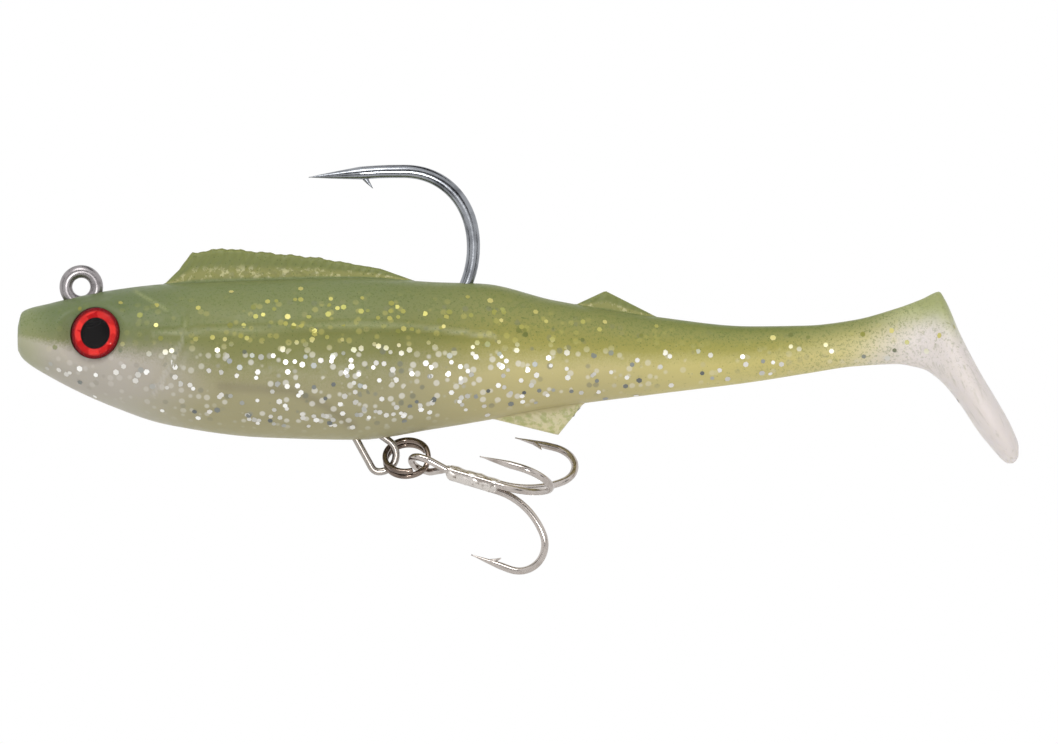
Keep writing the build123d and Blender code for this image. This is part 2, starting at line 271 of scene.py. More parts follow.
def bent(start, heading, moves):
    """A flat path of runs and bends; a move is (length,) or (radius, turn in degrees)."""
    place, heading, points = np.array(start, float), radians(heading), [tuple(start)]
    for move in moves:
        if len(move) == 1:
            place = place + move[0] * np.array([cos(heading), sin(heading)])
            points.append(tuple(place))
            continue
        radius, turn = move[0], radians(move[1])
        side = 1 if turn > 0 else -1
        centre = place + side * radius * np.array([-sin(heading), cos(heading)])
        for share in np.linspace(0, 1, 25)[1:]:
            now = heading + turn * share
            points.append(tuple(centre - side * radius * np.array([-sin(now), cos(now)])))
        place, heading = np.array(points[-1]), heading + turn
    return np.array(points)


def on_midplane(flat):
    """Points of the XZ plane from pairs."""
    return np.stack([flat[:, 0], np.zeros(len(flat)), flat[:, 1]], -1)


EYE_RING, EYE_WIRE = 1.95, 0.82
HOOK_WIRE, SHANK_Z, HEEL, REAR_BEND = 0.82, -7.35, 2.4, 12.4
BEND_AT, BEND_WIDTH, BEND_HEIGHT, BEND_SQUARENESS = (40.9, 5.05), 8.85, 9.6, 2.12
POINT_ROOT, POINT_TIP = (35.2, 14.42), (28.85, 13.9)
# along the wire from its tip: the needle's taper, and the middle and reach of the forged stretch
NEEDLE_TAPER, FORGED_AT, FORGED_REACH = 6.6, 19.0, 8.0
FORGED_DEEPER, FORGED_NARROWER = 0.07, 0.22
BARB_LINE, BARB_ROOT, BARB_TIP = [(35.9, 13.95), (36.35, 13.3), (36.75, 12.8), (37.0, 12.5)], 0.42, 0.03

black_nickel = metal("black_nickel", rgb(150, 153, 158), 0.18, rgb(88, 90, 96), 300.0, 0.8)
satin_steel = metal("satin_steel", rgb(158, 153, 154), 0.3, rgb(110, 105, 107), 700.0, 0.6)
lower = bent((0, -EYE_RING), -90, [
    (-SHANK_Z - HEEL - EYE_RING,), (HEEL, 90),
    (BEND_AT[0] + BEND_WIDTH - REAR_BEND - HEEL,), (REAR_BEND, 90),
])
sweep_angle = np.radians(np.linspace(0, 90, 60))[1:]
crown = np.stack([
    BEND_AT[0] + BEND_WIDTH * np.cos(sweep_angle) ** (2 / BEND_SQUARENESS),
    BEND_AT[1] + BEND_HEIGHT * np.sin(sweep_angle) ** (2 / BEND_SQUARENESS),
], -1)
share = np.linspace(0, 1, 20)[1:, None]
top = np.array([crown[-1], crown[-1] - (2.5, 0), np.array(POINT_ROOT) + (2.5, 0.2), POINT_ROOT])
point_line = (
    (1 - share) ** 3 * top[0] + 3 * share * (1 - share) ** 2 * top[1]
    + 3 * share**2 * (1 - share) * top[2] + share**3 * top[3]
)
needle = np.array(POINT_ROOT) + share * (np.array(POINT_TIP) - POINT_ROOT)
hook_path = spaced(np.vstack([lower, crown, point_line, needle]), 0.3)
from_tip = run_along(hook_path[::-1])[::-1]
forged = np.exp(-(((from_tip - FORGED_AT) / FORGED_REACH) ** 2))
hook_radius = HOOK_WIRE * np.clip(from_tip / NEEDLE_TAPER, 0.03, 1) ** 0.85 * (1 + FORGED_DEEPER * forged)
hook_mesh = wire(on_midplane(hook_path), hook_radius, flatness=1 - FORGED_NARROWER * forged, size=28)
barb_path = spaced(BARB_LINE, 0.1)
barb_radius = np.linspace(BARB_ROOT, BARB_TIP, len(barb_path))
barb_mesh = wire(on_midplane(barb_path), barb_radius, flatness=0.7, size=12)
turn = np.radians(np.arange(0, 360, 3))
tie_points = EYE_RING * np.stack([np.cos(turn), 0 * turn, np.sin(turn)], -1)
eye_mesh = wire(tie_points, EYE_WIRE, size=24, closed=True)
hook = make_piece("hook_wire", *together(hook_mesh, barb_mesh), black_nickel)
tie = make_piece("line_tie_ring", *eye_mesh, satin_steel)
for piece in (hook, tie):
    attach(piece, "body")
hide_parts("jig_hook")


# ---- belly hanger ------------------------------------------------------------------------------
# A bent spring-steel wire cast into the lead: one leg leaves the belly, turns at a tight corner
# and comes back as a round loop that carries the split ring. Satin nickel plate.
def rounded(corners, radii):
    """A path through corners, each inner one rounded by its radius."""
    corners = [np.asarray(c, float) for c in corners]
    points = [corners[0]]
    for before, corner, after, radius in zip(corners, corners[1:], corners[2:], radii):
        back, onward = unit(before - corner), unit(after - corner)
        half = acos(np.clip(back @ onward, -1, 1)) / 2
        centre = corner + unit(back + onward) * radius / sin(half)
        start = corner + back * radius / tan(half) - centre
        end = corner + onward * radius / tan(half) - centre
        span = pi - 2 * half
        for share in np.linspace(0, 1, 13):
            arm = (sin((1 - share) * span) * start + sin(share * span) * end) / sin(span)
            points.append(centre + arm)
    return spaced(points + [corners[-1]], 0.12)


LOOP_AT, LOOP_RADIUS, HANGER_WIRE = (37.69, -21.3), 2.15, 0.475
BELLY_EXIT, EXIT_HEADING = (31.03, -16.0), -50
hanger_steel = metal("hanger_steel", rgb(172, 165, 158), 0.24, rgb(128, 120, 114), 400.0, 0.5)
hanger_path = bent(BELLY_EXIT, EXIT_HEADING, [
    (1.9,), (6.0, -11.2), (4.6,), (1.1, 61.2), (LOOP_RADIUS, 145), (9.0,),
])
lowest = hanger_path[np.argmin(hanger_path[:, 1])]
shift = np.array([LOOP_AT[0] + 0.1, LOOP_AT[1] - LOOP_RADIUS]) - lowest
hanger_mesh = wire(on_midplane(spaced(hanger_path + shift, 0.15)), HANGER_WIRE, size=20)
hanger = make_piece("hanger_loop", *hanger_mesh, hanger_steel)
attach(hanger, "body")
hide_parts("belly_hanger")


# ---- split ring --------------------------------------------------------------------------------
# Two flat turns of spring strip side by side, joined by one short crossover and open at both
# ends, in dark bronze nickel. It hangs in the wire loop and its near side is lifted.
RING_AT = np.array([41.3, -0.25, -21.72])
RING_TILT, RING_YAW = radians(44), radians(-6)
RING_IN, RING_OUT, STRIP, PITCH = 2.4, 3.08, 0.7, 0.84
# degrees along the strip: its two ends, and the crossover from one turn to the other
STRIP_START, STRIP_END, CROSS_FROM, CROSS_TO = 36, 654, 330, 390
ring_axis = np.array([sin(RING_YAW) * cos(RING_TILT), -cos(RING_YAW) * cos(RING_TILT), sin(RING_TILT)])
ring_side = np.array([cos(RING_YAW), sin(RING_YAW), 0])
ring_up = np.cross(ring_axis, ring_side)
strip_steel = metal("strip_steel", rgb(138, 124, 114), 0.16, rgb(74, 60, 52), 600.0, 0.7)
course = np.arange(STRIP_START, STRIP_END, 3)
crossing = np.interp(course, [CROSS_FROM, CROSS_TO], [-PITCH / 2, PITCH / 2])
outwards = np.outer(np.cos(np.radians(course)), ring_side) + np.outer(np.sin(np.radians(course)), ring_up)
ring_points = RING_AT + outwards * (RING_IN + RING_OUT) / 2 + np.outer(crossing, ring_axis)
corner = np.radians(np.arange(0, 360, 18))
strip_section = np.stack([
    (RING_OUT - RING_IN) / 2 * np.sign(np.cos(corner)) * np.abs(np.cos(corner)) ** 0.75,
    STRIP / 2 * np.sign(np.sin(corner)) * np.abs(np.sin(corner)) ** 0.75,
], -1)
ring_mesh = sweep(ring_points, outwards, np.tile(ring_axis, (len(course), 1)), strip_section)
ring = make_piece("ring_coil", *ring_mesh, strip_steel)
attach(ring, "ring")
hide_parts("split_ring")


# ---- treble hook -------------------------------------------------------------------------------
# A double wire bent round into an eye and two prongs, a third prong laid along its shank, and the
# plated braze that joins them. Each prong has a wide bend, a needle point and a small inner barb.
DROP, YAW = radians(16.5), radians(13)
along = np.array([cos(DROP) * cos(YAW), -sin(YAW), -sin(DROP) * cos(YAW)])
upward = np.array([sin(DROP), 0, cos(DROP)])
nearward = np.cross(along, upward)
TREBLE_AT = np.array([43.29, -1.24, -22.45])
TREBLE_WIRE, BUNDLE, EYE_HALF, EYE_ROLL = 0.47, 0.55, 1.42, radians(30)
PRONGS = {"near": 71, "far": -47, "low": 192}
# one prong: end of its straight shank, wide bend, tight bend and straight point, and its taper
SHANK_END, WIDE_BEND, TIGHT_BEND, POINT_RUN, PRONG_TAPER = 10.2, (8.9, 54), (3.55, 129.8), 5.3, 4.0
# along the treble's axis: where the prongs start, where the eye's legs meet the shank, and the braze
PRONG_START, LOW_START, LEG_END, LEG_TURN, LEG_OPENS = 4.4, 3.7, 5.0, 3.4, 0.9
BRAZE_FROM, BRAZE_TO, BRAZE_RADIUS = 3.3, 10.6, 0.9


def outward(angle):
    """Direction square to the shank, from upwards towards the near side."""
    return upward * cos(radians(angle)) + nearward * sin(radians(angle))


def prong(angle, start):
    """One prong with its barb, its shank starting at a distance along the treble's axis."""
    flat = spaced(bent((start, BUNDLE), 0, [(SHANK_END - start,), WIDE_BEND, TIGHT_BEND, (POINT_RUN,)]), 0.2)
    from_tip = run_along(flat[::-1])[::-1]
    radius = TREBLE_WIRE * np.clip(from_tip / PRONG_TAPER, 0.12, 1) ** 0.8
    radius = radius * np.clip(0.55 + np.arange(len(flat)) * 0.4, 0, 1)
    away = outward(angle)
    points = TREBLE_AT + np.outer(flat[:, 0], along) + np.outer(flat[:, 1], away)
    body = wire(points, radius, across=np.cross(along, away), size=20)
    tip, back = points[-1], unit(points[-25] - points[-1])
    root = tip + back * 2.7 - away * 0.1
    barb = spaced([root, root + back * 0.6 - away * 0.4, root + back * 1.15 - away * 0.85], 0.08)
    return together(body, wire(barb, np.linspace(0.34, 0.07, len(barb)), across=along, size=12))


bright_nickel = metal("bright_nickel", rgb(192, 184, 178), 0.17, rgb(140, 127, 118), 300.0, 0.6)
loop_half = EYE_HALF + 0.05
loop_side = (nearward * cos(EYE_ROLL) + upward * sin(EYE_ROLL)) * loop_half
near_half, far_half = [
    [
        TREBLE_AT + along * LEG_END + leg, TREBLE_AT + along * LEG_TURN + leg,
        TREBLE_AT + along * LEG_OPENS + side, TREBLE_AT - along * loop_half + side,
    ]
    for leg, side in (
        (outward(PRONGS["near"]) * BUNDLE, loop_side), (outward(PRONGS["far"]) * BUNDLE, -loop_side),
    )
]
eye_path = rounded(near_half + far_half[::-1], [1.5, 1.2, EYE_HALF, EYE_HALF, 1.2, 1.5])
double_mesh = together(
    wire(eye_path, TREBLE_WIRE, across=np.cross(along, loop_side)),
    prong(PRONGS["near"], PRONG_START), prong(PRONGS["far"], PRONG_START),
)
double = make_piece("treble_eye_and_two_prongs", *double_mesh, bright_nickel)
single = make_piece("treble_third_prong", *prong(PRONGS["low"], LOW_START), bright_nickel)
braze_along = np.linspace(BRAZE_FROM, BRAZE_TO, 60)
at, about = np.meshgrid(braze_along, np.radians(np.arange(0, 360, 7.5)), indexing="ij")
swell = BRAZE_RADIUS + 0.045 * np.sin(at * 1.9 + about) + 0.03 * np.sin(at * 4.1 - 2 * about + 1)
lobes = 0.07 * np.maximum.reduce([np.cos(about - radians(a)) for a in PRONGS.values()])
ends = np.clip(np.minimum(at - BRAZE_FROM, BRAZE_TO - at) / 0.45, 0.12, 1) ** 0.45
braze_section = ((swell + lobes) * ends)[..., None] * np.stack([np.cos(about), np.sin(about)], -1)
braze_axes = [np.tile(axis, (len(braze_along), 1)) for axis in (upward, nearward)]
braze_mesh = sweep(TREBLE_AT + np.outer(braze_along, along), *braze_axes, braze_section)
braze_paint = Paint("braze")
pits = braze_paint.noise(1500.0, 4.0, 0.65)
braze_paint.set(
    Base_Color=braze_paint.mix(braze_paint.step(pits, 0.55, 0.7), rgb(214, 208, 202), rgb(130, 118, 108)),
    Metallic=1.0,
    Roughness=braze_paint.step(braze_paint.noise(500.0, 3.0, 0.5), 0.3, 0.7, 0.18, 0.42),
)
braze_paint.bump(pits, 0.5, 0.0001)
braze = make_piece("braze_sleeve", *braze_mesh, braze_paint.material)
for piece, node, finish in (
    (double, "treble_double_wire", "treble_wire"),
    (single, "treble_single_prong", "treble_wire"),
    (braze, "treble_braze", "braze"),
):
    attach(piece, "treble")
    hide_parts(node)


# ---- body moulding -----------------------------------------------------------------------------
# One soft PVC moulding poured round the lead: fish shape, three fins with rays, gill cover and
# flank creases, and a paddle that leans back. It is one skin cut in rigid places into three.
# trunk: x, back z, belly z, half width
TRUNK = [
    (-8.0, -4.8, -8.1, 1.5), (-7.5, -3.2, -9.0, 2.5), (-4.0, -2.1, -11.4, 4.1), (4.0, -0.4, -15.2, 6.0),
    (11.0, 0.4, -17.5, 6.9), (23.0, 0.9, -19.1, 7.4), (35.0, 1.2, -19.4, 7.0), (45.0, 0.6, -18.0, 6.0),
    (51.0, 0.4, -17.0, 5.3), (60.0, -1.7, -15.3, 4.5), (73.0, -3.8, -13.6, 3.4), (85.0, -5.0, -12.1, 2.6),
    (92.0, -4.9, -11.0, 2.2), (98.0, -4.2, -10.1, 1.9), (103.5, -2.7, -9.8, 1.8),
]
# paddle, from its top corner down to its tip: rear edge x, z, front edge x, z, half width
PADDLE = [
    (106.5, -1.6, 105.5, -10.1, 2.0), (108.8, -0.6, 107.0, -10.5, 2.8), (109.5, -1.5, 108.0, -11.1, 3.7),
    (111.5, -6.0, 109.5, -12.4, 5.4), (114.0, -10.8, 111.5, -14.9, 6.3), (116.5, -15.0, 114.0, -18.6, 6.1),
    (118.2, -18.2, 115.9, -20.9, 5.0), (118.9, -20.3, 116.8, -21.9, 3.8), (118.9, -21.4, 117.6, -22.4, 2.6),
    (118.6, -22.0, 118.1, -22.4, 1.2),
]
# fins: the free edge of each, from its front root to its rear root
FIRST_DORSAL = [(10.5, 0.3), (12.5, 2.3), (14.0, 4.3), (18.0, 4.9), (30.0, 3.7), (38.0, 2.3), (42.8, 0.6)]
SECOND_DORSAL = [(62.4, -2.4), (66.5, -0.5), (73.2, -3.9)]
ANAL_FIN = [(52.0, -16.7), (60.5, -18.8), (63.8, -14.7)]
FIN_HALF = 0.6
# pitch of the rays cast into the dorsal fins and into the anal fin
RAY_PITCH, ANAL_RAY_PITCH = 1.25, 3.2
EYE_CENTRE, EYE_TURN, EYE_LIFT, EYE_RADIUS = np.array([1.93, 5.35, -5.86]), radians(20), radians(8), 3.3
SOCKET_RADIUS, SOCKET_DEPTH, RIM_DEPTH = 2.85, 1.0, 0.5
SPACING, FLANK_POINTS, FIN_POINTS = 0.34, 58, 14
# power of the oval section: a little squarer than an ellipse
POWER = 2 / 2.12


def smooth(values, low, high):
    """0 up to low, 1 from high, and a smooth step between."""
    share = np.clip((values - low) / (high - low), 0, 1)
    return share * share * (3 - 2 * share)


def fin_height(outline, x, level):
    """How far an outline stands above a level at x, nothing outside it."""
    xs, zs = zip(*outline)
    return np.where((x > xs[0]) & (x < xs[-1]), np.interp(x, xs, zs) - level, 0)


def curve_through(rows, step):
    """Evenly spaced rows on a smooth curve through the given ones, with no overshoot."""
    rows = np.asarray(rows, float)
    run = run_along(rows[:, :4]) / sqrt(2)
    gap = np.diff(run)[:, None]
    slopes = np.diff(rows, axis=0) / gap
    before, after = slopes[:-1], slopes[1:]
    same_way = before * after > 0
    inner = np.where(same_way, 2 * before * after / np.where(same_way, before + after, 1), 0)
    tangents = np.vstack([slopes[:1], inner, slopes[-1:]])
    at = np.linspace(0, run[-1], int(run[-1] / step))
    low = np.clip(np.searchsorted(run, at, side="right") - 1, 0, len(gap) - 1)
    share, reach = ((at - run[low]) / gap[low, 0])[:, None], gap[low]
    held = (1 + 2 * share) * (1 - share) ** 2 * rows[low] + share**2 * (3 - 2 * share) * rows[low + 1]
    leaning = share * (1 - share) ** 2 * tangents[low] + share**2 * (share - 1) * tangents[low + 1]
    return held + reach * leaning


stations = curve_through([(x, back, x, belly, half) for x, back, belly, half in TRUNK] + PADDLE, SPACING)
upper_x, upper_z, lower_x, lower_z, half_width = (stations[:, k : k + 1] for k in range(5))
dorsal = np.maximum.reduce([
    0 * upper_x, fin_height(FIRST_DORSAL, upper_x, upper_z), fin_height(SECOND_DORSAL, upper_x, upper_z),
])
anal = np.maximum(-fin_height(ANAL_FIN, lower_x, lower_z), 0)
fin_half = np.minimum(FIN_HALF, 0.35 * half_width)

angle = np.arccos(np.clip((fin_half / half_width) ** (1 / POWER), 0, 1)) * np.linspace(-1, 1, FLANK_POINTS)
flank_y = half_width * np.cos(angle) ** POWER
flank_up = 0.5 + 0.5 * np.sign(angle) * np.abs(np.sin(angle)) ** POWER
climb = np.arange(1, FIN_POINTS + 1) / FIN_POINTS
ray_phase = (upper_x - 0.75 * climb * dorsal) / RAY_PITCH
rays = 1 + 0.3 * np.sin(2 * pi * ray_phase) * smooth(dorsal, 0.4, 1.5) * smooth(climb, 0.3, 0.5)
crumple = np.sin(upper_x * 5.3) * np.sin(climb * 19 + 2 * np.sin(upper_x * 1.7))
crumple = crumple * smooth(upper_x, 15, 19) * (1 - smooth(upper_x, 27, 33))
rays += 0.35 * crumple * smooth(climb, 0.05, 0.15) * (1 - smooth(climb, 0.35, 0.5))
thin = np.sqrt(np.clip(1 - climb**5, 0, 1))
plain_y = fin_half * (1 - climb)
fin_y = fin_half * (1 - smooth(dorsal, 0, 1.2) * 0.45 * climb) * thin * rays
fin_y = np.where(dorsal > 0.02, plain_y + (fin_y - plain_y) * smooth(dorsal, 0, 0.8), plain_y)
anal_rays = 1 + 0.3 * np.cos(2 * pi * (upper_x - 1.1 * climb * anal) / ANAL_RAY_PITCH) ** 8
anal_y = fin_half * (1 - 0.45 * climb) * thin * anal_rays
anal_y = plain_y + (anal_y - plain_y) * smooth(anal, 0, 0.8)


def along_chord(y):
    """Share of the half chord at which the oval section has half width y."""
    return np.sqrt(np.clip(1 - np.clip(y / half_width, 0, 1) ** (2 / POWER), 0, 1)) ** POWER


scallop = 0.06 * np.sin(2 * pi * upper_x / RAY_PITCH) + 0.07 * np.sin(upper_x * 1.9 + 1.0)
scallop = scallop * smooth(dorsal, 1, 2.5) * (upper_x < 44)
no_fin = np.zeros_like(flank_y)
ups = np.hstack([(0.5 - 0.5 * along_chord(anal_y))[:, ::-1], flank_up, 0.5 + 0.5 * along_chord(fin_y)])
widths = np.hstack([anal_y[:, ::-1], flank_y, fin_y])
lifts = np.hstack([-(anal * climb)[:, ::-1], no_fin, (dorsal + scallop) * climb])
fins = np.hstack([
    (smooth(anal, 0.1, 0.5) * climb)[:, ::-1], no_fin, smooth(dorsal, 0.1, 0.5) * climb,
])
left_x = lower_x + (upper_x - lower_x) * ups
left_z = lower_z + (upper_z - lower_z) * ups + lifts


def line_distance(x, z, points):
    """Distance to a polyline in the side view, and on which side of it a place lies."""
    best, side = np.full(x.shape, 1e9), np.zeros(x.shape)
    for (ax, az), (bx, bz) in zip(points, points[1:]):
        length = (bx - ax) ** 2 + (bz - az) ** 2
        share = np.clip(((x - ax) * (bx - ax) + (z - az) * (bz - az)) / length, 0, 1)
        dx, dz = x - ax - share * (bx - ax), z - az - share * (bz - az)
        distance = np.hypot(dx, dz)
        nearer = distance < best
        best = np.where(nearer, distance, best)
        side = np.where(nearer, np.sign(dx * (bz - az) - dz * (bx - ax)), side)
    return best, side


# each crease: its line in the side view, the groove's depth and the height of the lip beside it
CREASES = {
    "flank": ([(14, -5.8), (29, -5.1), (36, -4.9), (43, -5.2), (52, -6.3)], 0.2, 0.22),
    "brow": ([(7, -0.6), (11, -2.9)], 0.16, 0.14),
    "cheek": ([(9.4, -6.0), (14, -5.8)], 0.16, 0.12),
    "gill": ([(13.6, -4.2), (13, -7), (11.5, -10.2), (9.4, -13.6)], 0.26, 0.3),
}
# course of the hanger's wire inside the belly, which shows faintly through it
HANGER_LINE, HANGER_SHOWS = [(18, -12.6), (27, -13.2), (31, -15), (34.5, -17.6)], 0.6
relief = np.zeros_like(left_x)
# painted shade: a dark band just below the flank crease
crease_shade = np.zeros_like(left_x)
crease_highlight = np.zeros_like(left_x)
for name, (points, groove, rise) in CREASES.items():
    distance, side = line_distance(left_x, left_z, points)
    # painted highlight: a light line along every crease
    crease_highlight = np.maximum(crease_highlight, np.exp(-((distance / 0.22) ** 2)))
    if name == "flank":
        below = np.exp(-(((distance - 0.7) / 0.6) ** 2)) * (side > 0)
        crease_shade = below * smooth(left_x, 20, 30) * (1 - smooth(left_x, 44, 54))
    relief -= groove * np.exp(-((distance / 0.3) ** 2))
    relief += rise * np.where(side < 0, np.exp(-distance / 1.6), 0) * smooth(distance, 0, 0.4)
inner_wire = np.exp(-((line_distance(left_x, left_z, HANGER_LINE)[0] / HANGER_SHOWS) ** 2))
widths = widths + relief * smooth(widths / half_width, 0.25, 0.6)


def both_flanks(left):
    """Values round the whole section, from those of its left side."""
    return np.concatenate([left, left[:, 1:-1][:, ::-1]], 1)


grid = both_flanks(np.stack([left_x, -widths, left_z], -1))
grid[:, ups.shape[1]:, 1] *= -1


def eye_place(flank):
    """Centre of an eye and the way it looks; flank is -1 on the left and 1 on the right."""
    look = unit([-sin(EYE_TURN), flank * cos(EYE_TURN), sin(EYE_LIFT)])
    return EYE_CENTRE * (1, flank, 1), look


def from_eye(points, centre, look):
    """How far points lie out along an eye's look, and how far from its axis."""
    offset = points - centre
    depth = offset @ look
    return depth, np.linalg.norm(offset - depth[..., None] * look, axis=-1)


for flank in (-1, 1):
    centre, look = eye_place(flank)
    depth, radial = from_eye(grid, centre, look)
    on_flank = (np.sign(grid[..., 1]) == flank) & (np.abs(depth) < 3.5) & (np.abs(grid[..., 1]) > 1.2)
    target = np.where(radial < SOCKET_RADIUS, -SOCKET_DEPTH, -RIM_DEPTH)
    pull = np.where(radial < SOCKET_RADIUS, 1.0, 1 - smooth(radial, 3.35, 5.2))
    grid = grid + np.where(on_flank, pull * (target - depth), 0)[..., None] * look

rings, around = grid.shape[:2]
skin_points = np.vstack([grid.reshape(-1, 3), grid[0].mean(0), grid[-1].mean(0)])
skin_faces = tube_faces(rings, around)
# values at each point that the colours read, and their value at the two end points
skin_tones = {
    name: np.r_[both_flanks(tone).ravel(), at_ends, at_ends]
    for name, tone, at_ends in (
        ("up", ups, 0.5), ("fin", fins, 0), ("crease_shade", crease_shade, 0), ("crease_highlight", crease_highlight, 0),
        ("inner_wire", inner_wire, 0),
    )
}

# pigments from the belly up: belly, lower flank, upper flank and back, at these shares of the height
LEVELS = (0.0, 0.35, 0.56, 1.0)
HEAD = ((166, 161, 146), (176, 169, 156), (122, 125, 86), (102, 114, 76))
MIDDLE = ((152, 146, 112), (152, 146, 112), (122, 122, 68), (118, 127, 82))
REAR = ((172, 162, 118), (184, 173, 120), (152, 146, 75), (122, 128, 78))
TAIL = ((190, 180, 122), (188, 177, 110), (158, 152, 80), (112, 122, 68))
skin = Paint("soft_plastic")
body_x, body_z = skin.axis("X"), skin.axis("Z")
up, fin = skin.attribute("up"), skin.attribute("fin")
drift = skin.times(skin.math("SUBTRACT", skin.noise(180.0, 4.0, 0.6), 0.5), 0.16)
spray = skin.times(skin.math("SUBTRACT", skin.noise(4200.0, 3.0, 0.8), 0.5), 0.22)
dip = skin.times(skin.step(body_x, 8, 14), skin.step(body_x, 44, 34), 0.05)
level = skin.plus(up, drift, spray, dip)
tail_on = skin.math("SUBTRACT", body_x, skin.times(up, 4.5))
on_paddle = skin.step(tail_on, 100, 107)

# the pigments of the four stretches, each from its place along the body to the next
colour = skin.ramp(skin.step(level, 0.1, 0.9), zip(LEVELS, HEAD))
for pigments, start, end in ((MIDDLE, 4, 18), (REAR, 38, 58), (TAIL, 64, 82)):
    colour = skin.mix(skin.step(body_x, start, end), colour, skin.ramp(level, zip(LEVELS, pigments)))

# paddle: milky below and green above, with flecks, and flow lines that lean as it does
green_top = skin.times(skin.step(up, 0.35, 0.9), skin.step(body_z, -8.5, -2))
milky = skin.mix(green_top, rgb(214, 206, 202), rgb(176, 180, 130))
down_paddle = skin.node(
    "ShaderNodeMapping",
    {"Vector": skin.place, "Rotation": (0, radians(-25), 0), "Scale": (1, 1, 5)}, vector_type="TEXTURE",
).outputs[0]
flow_lines = skin.times(skin.step(skin.noise(1500.0, 3.0, 0.6, down_paddle), 0.54, 0.68), on_paddle)
fleck = skin.times(skin.step(skin.noise(2600.0, 3.0, 0.7), 0.56, 0.62), skin.step(body_z, -17, -4))
top_corner = skin.times(skin.step(body_z, -5.5, -1.5), skin.step(body_x, 104, 107))

# lead and wire that show through, painted shade and painted highlight along the creases, and pepper of fine
# green specks on back and tail
lead_edge = skin.plus(skin.times(drift, 20), body_z)
lead_glow = skin.times(
    skin.step(lead_edge, -15.5, -12.8), skin.step(lead_edge, -6.5, -8.8),
    skin.times(skin.step(body_x, 20, 9), skin.step(body_x, -6, 0)),
)
# colour of the painted highlight along the creases: paler below, green higher up
crease_highlight_colour = skin.mix(skin.step(up, 0.5, 0.75), rgb(206, 202, 190), rgb(166, 172, 118))
pale_stem = skin.times(skin.step(body_x, 86, 100), 0.6, skin.step(up, 0.85, 0.55, 0.25, 1.0))
pepper_area = skin.math("MAXIMUM", skin.step(up, 0.45, 0.8), skin.step(body_x, 75, 100))
pepper_area = skin.times(pepper_area, skin.step(tail_on, 108, 100))
pepper = skin.times(skin.step(skin.noise(2800.0, 3.0, 0.8), 0.52, 0.6), pepper_area)

# fins: pale patches at the base of the dorsal, painted highlights on its crinkles, green above them, and a
# pale anal fin
crinkle = skin.noise(1300.0, 5.0, 0.65)
# painted highlight: pale patches where the dorsal's crinkles would catch the light
fin_base_highlighted = skin.mix(skin.step(crinkle, 0.52, 0.62), rgb(140, 140, 84), rgb(182, 178, 132))
dorsal_colour = skin.mix(skin.step(skin.plus(fin, drift), 0.28, 0.6), fin_base_highlighted, rgb(118, 124, 72))
anal_colour = skin.mix(skin.step(crinkle, 0.45, 0.6), rgb(196, 188, 150), rgb(168, 168, 116))

# flakes that lie deep, blurred under the plastic, and dark specks
deep_distance, deep_tone = skin.cells(900.0)
deep_flake = skin.times(skin.step(deep_distance, 0.44, 0.26), skin.step(deep_tone[0], 0.38, 0.42))
silver = skin.mix(skin.step(body_z, -9.5, -6.5), rgb(216, 213, 206), rgb(188, 180, 96))
# deep flakes: silver and gold foil made bright as a painted glint, and a few painted dark as if turned away
# from the light
deep_colour = skin.mix(skin.step(deep_tone[1], 0.12, 0.3), rgb(110, 112, 100), silver)
speck_distance, speck_tone = skin.cells(2300.0)
speck = skin.times(skin.step(speck_distance, 0.26, 0.14), skin.step(speck_tone[2], 0.5, 0.55))
speck_area = skin.math("MAXIMUM", skin.step(up, 0.35, 0.7), skin.times(skin.step(body_x, 55, 80), 0.6))
speck_area = skin.times(speck_area, skin.step(body_x, 112, 100))

# what lies over the pigments, from the first to the last: where, how much of it, and its colour
for area, strength, tint in (
    (pale_stem, 1.0, rgb(204, 195, 146)),
    (lead_glow, 0.4, rgb(168, 160, 154)),
    (skin.step(tail_on, 94.5, 105.5), 1.0, milky),
    (skin.attribute("inner_wire"), 0.4, rgb(112, 104, 86)),
    # painted shade below the flank crease, then the painted highlight along every crease
    (skin.attribute("crease_shade"), 0.45, rgb(104, 106, 44)),
    (skin.attribute("crease_highlight"), 0.4, crease_highlight_colour),
    (skin.step(body_x, -3, -7.5), 0.5, rgb(146, 152, 110)),
    (pepper, 0.5, rgb(96, 112, 56)),
    (flow_lines, 0.3, rgb(158, 156, 138)),
    (skin.times(fleck, on_paddle), 0.6, rgb(140, 142, 108)),
    (top_corner, 0.55, rgb(132, 138, 84)),
    (skin.times(skin.step(fin, 0.02, 0.15), skin.step(up, 0.7, 0.8)), 1.0, dorsal_colour),
    (skin.times(skin.step(fin, 0.02, 0.3), skin.step(up, 0.3, 0.2)), 1.0, anal_colour),
    (skin.times(deep_flake, skin.attribute("glitter")), 0.6, deep_colour),
    (skin.times(speck, speck_area), 0.55, rgb(74, 92, 44)),
):
    colour = skin.mix(skin.times(area, strength), colour, tint)
skin.set(
    Base_Color=colour,
    Roughness=skin.step(skin.noise(900.0, 3.0), 0.3, 0.7, 0.34, 0.48),
    Subsurface_Weight=0.25,
    Subsurface_Radius=(1.0, 0.9, 0.5),
    Subsurface_Scale=0.0012,
    IOR=1.45,
    Specular_IOR_Level=0.3,
)
skin.bump(skin.noise(1600.0, 4.0, 0.6), 0.25, 0.00008)


def glitter_share(points, up):
    """How much glitter shows at each point: much on the lower flank, little on back and tail."""
    x = points[:, 0]
    low = smooth(up, 0.03, 0.14) * (1 - smooth(up, 0.46, 0.64))
    middle = smooth(up, 0.45, 0.6) * (1 - smooth(up, 0.8, 0.93))
    head = smooth(x, -7.0, -2.0) * (0.34 + 0.66 * smooth(x, 6, 26))
    tail = 1 - 0.7 * smooth(x, 52, 84)
    return np.clip((low + 0.5 * middle + 0.04) * head * tail * (1 - 0.85 * smooth(x, 103, 109)), 0, 1)


